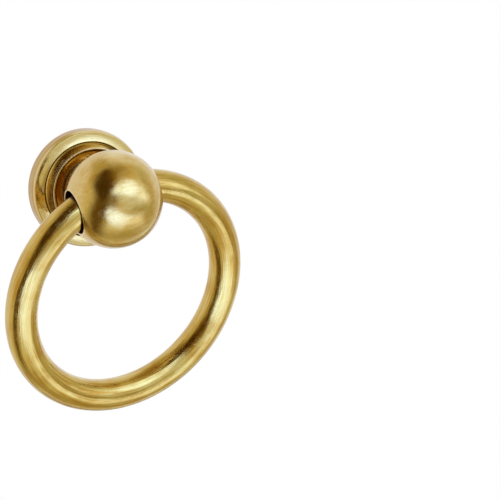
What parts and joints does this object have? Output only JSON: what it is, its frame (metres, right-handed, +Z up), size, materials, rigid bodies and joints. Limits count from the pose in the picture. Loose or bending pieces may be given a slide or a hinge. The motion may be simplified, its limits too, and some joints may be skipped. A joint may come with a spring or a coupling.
{
  "type": "ring pull handle",
  "caption": "Round turned rose with a ball on a short neck and a round-bar ring hanging through the ball, for pulling a door or drawer open.",
  "frame": {"origin": "centre of the rose's back face, at the mouth of the tapped hole", "axes": "+Y into the drawer front, so the front faces -Y; +Z up; +X to the right seen from the front, along the ring's hole"},
  "size_m": [0.0596, 0.031, 0.0653],
  "materials": {
    "turned_brass": "turned and polished, fine rings",
    "polished_brass": "hand polished, fine scuffs",
    "ring_brass": "hand polished, fine scuffs"
  },
  "bodies": {
    "knob": {"rose": "turned_brass", "ball_knob": "polished_brass"},
    "ring": {"pull_ring": "ring_brass"}
  },
  "joints": [
    {"name": "ring_swing", "type": "hinge", "parent": "knob", "child": "ring", "pos_m": [0, -0.01999, 0], "axis": [-1, 0, 0], "range_deg": [0, 216]}
  ]
}
